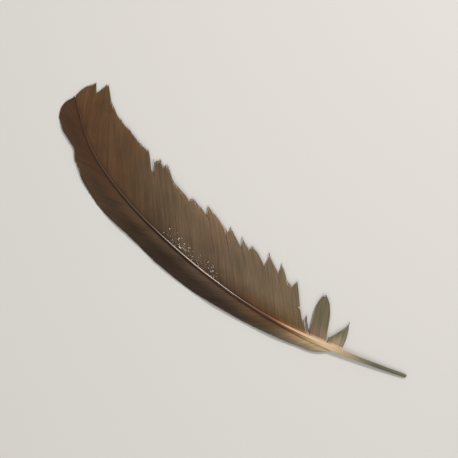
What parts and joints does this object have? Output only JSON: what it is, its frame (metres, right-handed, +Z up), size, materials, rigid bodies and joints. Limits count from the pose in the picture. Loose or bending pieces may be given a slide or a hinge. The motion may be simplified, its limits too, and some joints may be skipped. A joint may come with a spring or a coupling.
{
  "type": "wing feather",
  "caption": "Broad wing feather with a curved tapering quill, a narrow smooth vane, a wide torn vane and loose tufts at its base.",
  "frame": {"origin": "centre of the lying feather's outline in X and Y, on the surface it lies on (Z = 0)", "axes": "+X along the feather from the bare root of the quill towards its tip, +Y towards the narrow leading vane, +Z up out of the upper side"},
  "size_m": [0.3209, 0.0771, 0.0059],
  "materials": {
    "horn": "semi-gloss natural horn",
    "dark_vane": "soft barbs, satin",
    "brown_vane": "soft barbs, satin",
    "pale_down": "soft barbs, matte"
  },
  "bodies": {
    "root": {"quill": "horn", "leading_vane": "dark_vane", "trailing_vane": "brown_vane", "pointed_tuft": "pale_down", "rounded_tuft": "pale_down", "loose_tuft": "pale_down"}
  },
  "joints": []
}
